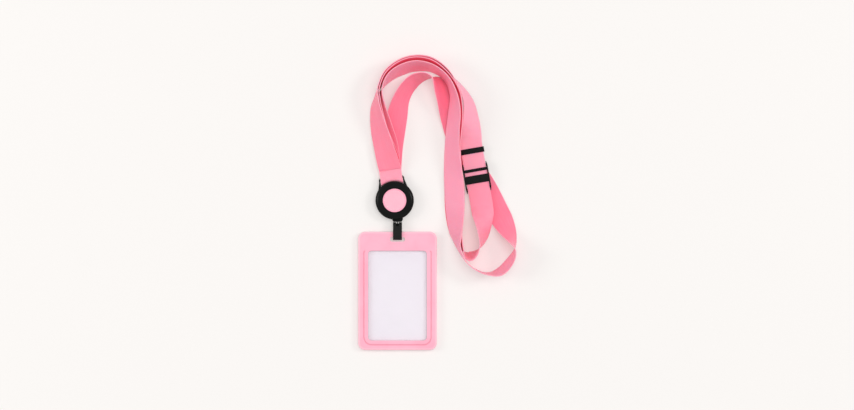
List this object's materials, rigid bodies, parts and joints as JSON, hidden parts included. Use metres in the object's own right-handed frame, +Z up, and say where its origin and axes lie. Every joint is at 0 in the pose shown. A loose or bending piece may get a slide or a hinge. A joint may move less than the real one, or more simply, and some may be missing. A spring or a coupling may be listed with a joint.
{
  "type": "badge holder with retractable reel and lanyard",
  "caption": "Flat badge holder with a clear window, hung by a snap strap from a retractable cord reel on a ribbon neck lanyard that lies in folded loops.",
  "frame": {"origin": "on the table under the middle of the holder, strap, reel and sewn tab, without the free lanyard", "axes": "+X across the holder, +Y from the holder's bottom edge toward the reel, +Z up out of the window"},
  "size_m": [0.1427, 0.2652, 0.0255],
  "materials": {
    "pink_shell": "satin moulded plastic",
    "clear_pane": "clear film",
    "card": "smooth printed card",
    "black_strap": "soft vinyl",
    "snap_metal": "nickel plated",
    "black_plastic": "glossy moulded plastic",
    "pink_disc": "glossy print under a clear dome",
    "steel": "turned",
    "white_plastic": "moulded",
    "black_cord": "braided",
    "pink_ribbon": "satin woven",
    "pink_thread": "twisted",
    "black_buckle": "moulded plastic"
  },
  "bodies": {
    "reel": {"back_case": "black_plastic", "front_case": "black_plastic", "face_disc": "pink_disc", "centre_post": "steel", "spool_washer": "white_plastic", "power_spring": "steel", "exit_bushing": "steel", "attachment_tab": "pink_ribbon", "seam_stitch": "pink_thread", "strap_front": "pink_ribbon", "strap_inner": "pink_ribbon", "strap_outer": "pink_ribbon"},
    "cord_end": {"cord_bead": "black_cord", "pull_cord": "black_cord"},
    "swivel": {"swivel_barrel": "black_plastic"},
    "strap": {"badge_strap": "black_strap", "snap_cap": "snap_metal", "snap_socket": "snap_metal"},
    "holder": {"front_frame": "pink_shell", "window_pane": "clear_pane", "back_shell": "pink_shell"},
    "card": {"id_card": "card"},
    "spool": {"spool": "white_plastic", "cord_winding": "black_cord"},
    "keeper": {"keeper": "black_buckle"},
    "adjuster": {"adjuster_frame": "black_buckle"}
  },
  "joints": [
    {"name": "cord_pull", "type": "slide", "parent": "reel", "child": "cord_end", "axis": [0, -1, 0], "range_m": [0, 0.6], "stiffness_N_per_m": 1, "springref_m": -0.6},
    {"name": "ferrule_swivel", "type": "hinge", "parent": "cord_end", "child": "swivel", "pos_m": [0, 0.0292, 0.0042], "axis": [0, 1, 0], "continuous": true},
    {"name": "strap_swing", "type": "hinge", "parent": "swivel", "child": "strap", "pos_m": [0, 0.0292, 0.0042], "axis": [1, 0, 0], "range_deg": [-45, 45]},
    {"name": "badge_tilt", "type": "hinge", "parent": "strap", "child": "holder", "pos_m": [0, 0.0197, 0.00393], "axis": [1, 0, 0], "range_deg": [-9, 9]},
    {"name": "card_slide", "type": "slide", "parent": "holder", "child": "card", "axis": [-1, 0, 0], "range_m": [0, 0.058]},
    {"name": "spool_turn", "type": "hinge", "parent": "reel", "child": "spool", "pos_m": [-0.00255, 0.05155, 0.0042], "axis": [0, 0, -1], "range_deg": [0, 3400]},
    {"name": "keeper_slide", "type": "slide", "parent": "reel", "child": "keeper", "axis": [0.1728, -0.985, 0], "range_m": [-0.002, 0.004]},
    {"name": "adjuster_slide", "type": "slide", "parent": "reel", "child": "adjuster", "axis": [0.1728, -0.985, 0], "range_m": [-0.004, 0.008]}
  ],
  "couplings": [
    {"joint": "spool_turn", "follows": "cord_pull", "rad_per_m": 98}
  ]
}
